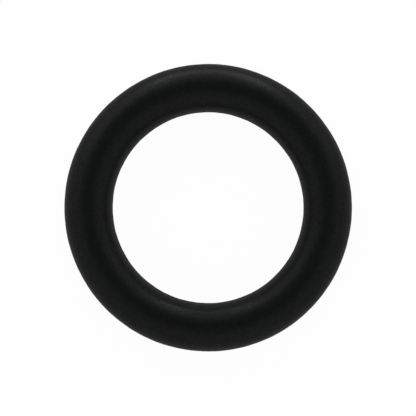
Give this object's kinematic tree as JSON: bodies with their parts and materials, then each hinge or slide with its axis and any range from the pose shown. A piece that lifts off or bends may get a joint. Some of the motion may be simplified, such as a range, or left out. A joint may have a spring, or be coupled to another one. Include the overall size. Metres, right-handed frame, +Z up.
{
  "type": "rubber o-ring",
  "caption": "Black rubber o-ring: a moulded ring of round section, with a fine trimmed flash line round its inside and its outside.",
  "frame": {"origin": "centre of the ring, on the parting plane halfway up its section", "axes": "+Z along the ring's axis; the ring lies flat with +Z up, and it is the same all round, so +X and +Y are free"},
  "size_m": [0.018, 0.018, 0.003],
  "materials": {
    "rubber": "satin, as moulded"
  },
  "bodies": {
    "root": {"o_ring": "rubber"}
  },
  "joints": []
}
